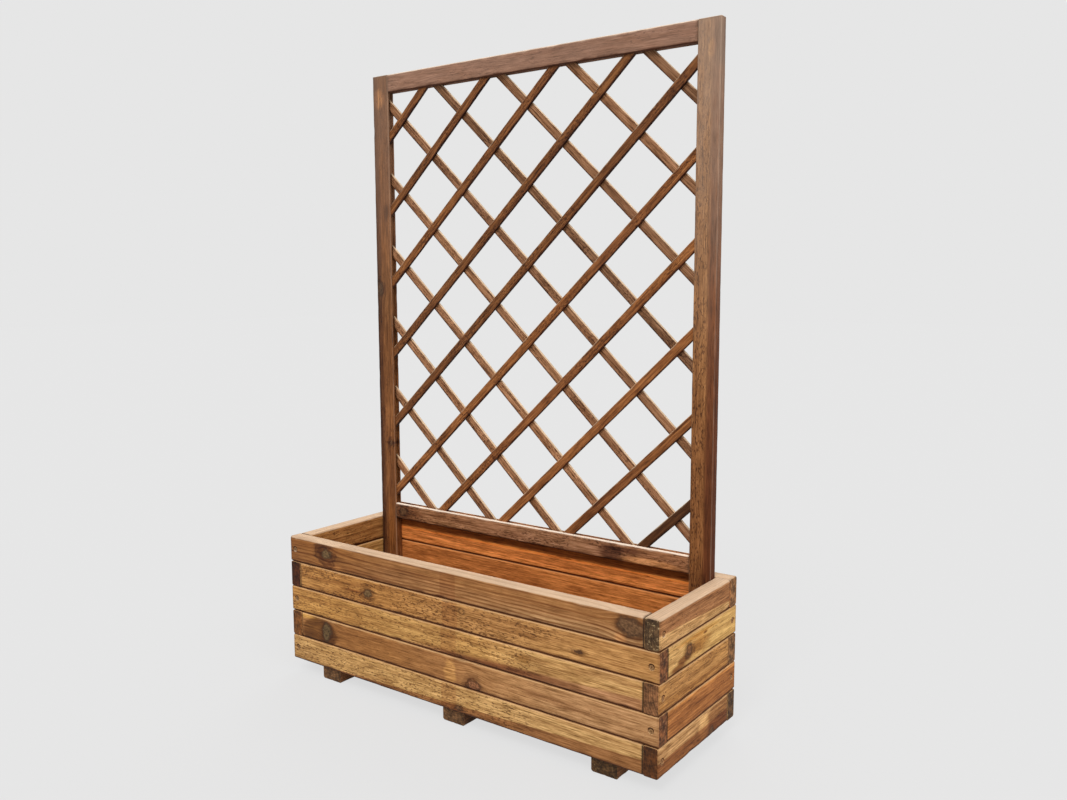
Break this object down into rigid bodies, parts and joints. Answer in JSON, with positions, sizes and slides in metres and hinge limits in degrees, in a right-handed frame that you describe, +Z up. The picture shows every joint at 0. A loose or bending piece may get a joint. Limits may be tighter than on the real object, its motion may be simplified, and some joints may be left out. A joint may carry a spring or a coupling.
{
  "type": "planter with trellis",
  "caption": "Long floor planter box of stacked wooden boards on cross bearers, with a framed diagonal lattice trellis standing inside its back wall.",
  "frame": {"origin": "on the ground, under the middle of the box: the bottom centre of the whole object", "axes": "+X along the box to the right as seen from the front, +Y from the front to the back, where the trellis stands, +Z up"},
  "size_m": [0.99, 0.324, 1.424],
  "materials": {
    "board_wood": "dip-treated softwood, sawn and lightly planed, matte",
    "bearer_wood": "dark treated softwood, rough and matte",
    "floor_wood": "rough softwood, matte",
    "post_wood": "reddish brown treated softwood, planed, matte",
    "rail_wood": "mauve brown treated softwood, planed, matte",
    "front_slat_wood": "reddish brown sawn lath, matte",
    "rear_slat_wood": "tan sawn lath, matte",
    "yellow_zinc": "yellow zinc plated, satin",
    "grey_zinc": "grey zinc plated, satin"
  },
  "bodies": {
    "root": {"front_board_1": "board_wood", "back_board_1": "board_wood", "right_board_1": "board_wood", "left_board_1": "board_wood", "front_board_2": "board_wood", "back_board_2": "board_wood", "right_board_2": "board_wood", "left_board_2": "board_wood", "front_board_3": "board_wood", "back_board_3": "board_wood", "right_board_3": "board_wood", "left_board_3": "board_wood", "front_board_4": "board_wood", "back_board_4": "board_wood", "right_board_4": "board_wood", "left_board_4": "board_wood", "front_board_5": "board_wood", "back_board_5": "board_wood", "right_board_5": "board_wood", "left_board_5": "board_wood", "bearer_left": "bearer_wood", "bearer_middle": "bearer_wood", "bearer_right": "bearer_wood", "floor_slat_1": "floor_wood", "floor_slat_2": "floor_wood", "floor_slat_3": "floor_wood", "floor_slat_4": "floor_wood", "corner_batten_left": "floor_wood", "corner_batten_right": "floor_wood", "post_left": "post_wood", "post_right": "post_wood", "rail_bottom": "rail_wood", "rail_top": "rail_wood", "rising_slat_01": "front_slat_wood", "rising_slat_02": "front_slat_wood", "rising_slat_03": "front_slat_wood", "rising_slat_04": "front_slat_wood", "rising_slat_05": "front_slat_wood", "rising_slat_06": "front_slat_wood", "rising_slat_07": "front_slat_wood", "rising_slat_08": "front_slat_wood", "rising_slat_09": "front_slat_wood", "rising_slat_10": "front_slat_wood", "falling_slat_01": "rear_slat_wood", "falling_slat_02": "rear_slat_wood", "falling_slat_03": "rear_slat_wood", "falling_slat_04": "rear_slat_wood", "falling_slat_05": "rear_slat_wood", "falling_slat_06": "rear_slat_wood", "falling_slat_07": "rear_slat_wood", "falling_slat_08": "rear_slat_wood", "falling_slat_09": "rear_slat_wood", "falling_slat_10": "rear_slat_wood", "long_screws": "yellow_zinc", "short_screws": "yellow_zinc", "floor_nails": "grey_zinc", "lattice_nails": "grey_zinc"}
  },
  "joints": []
}
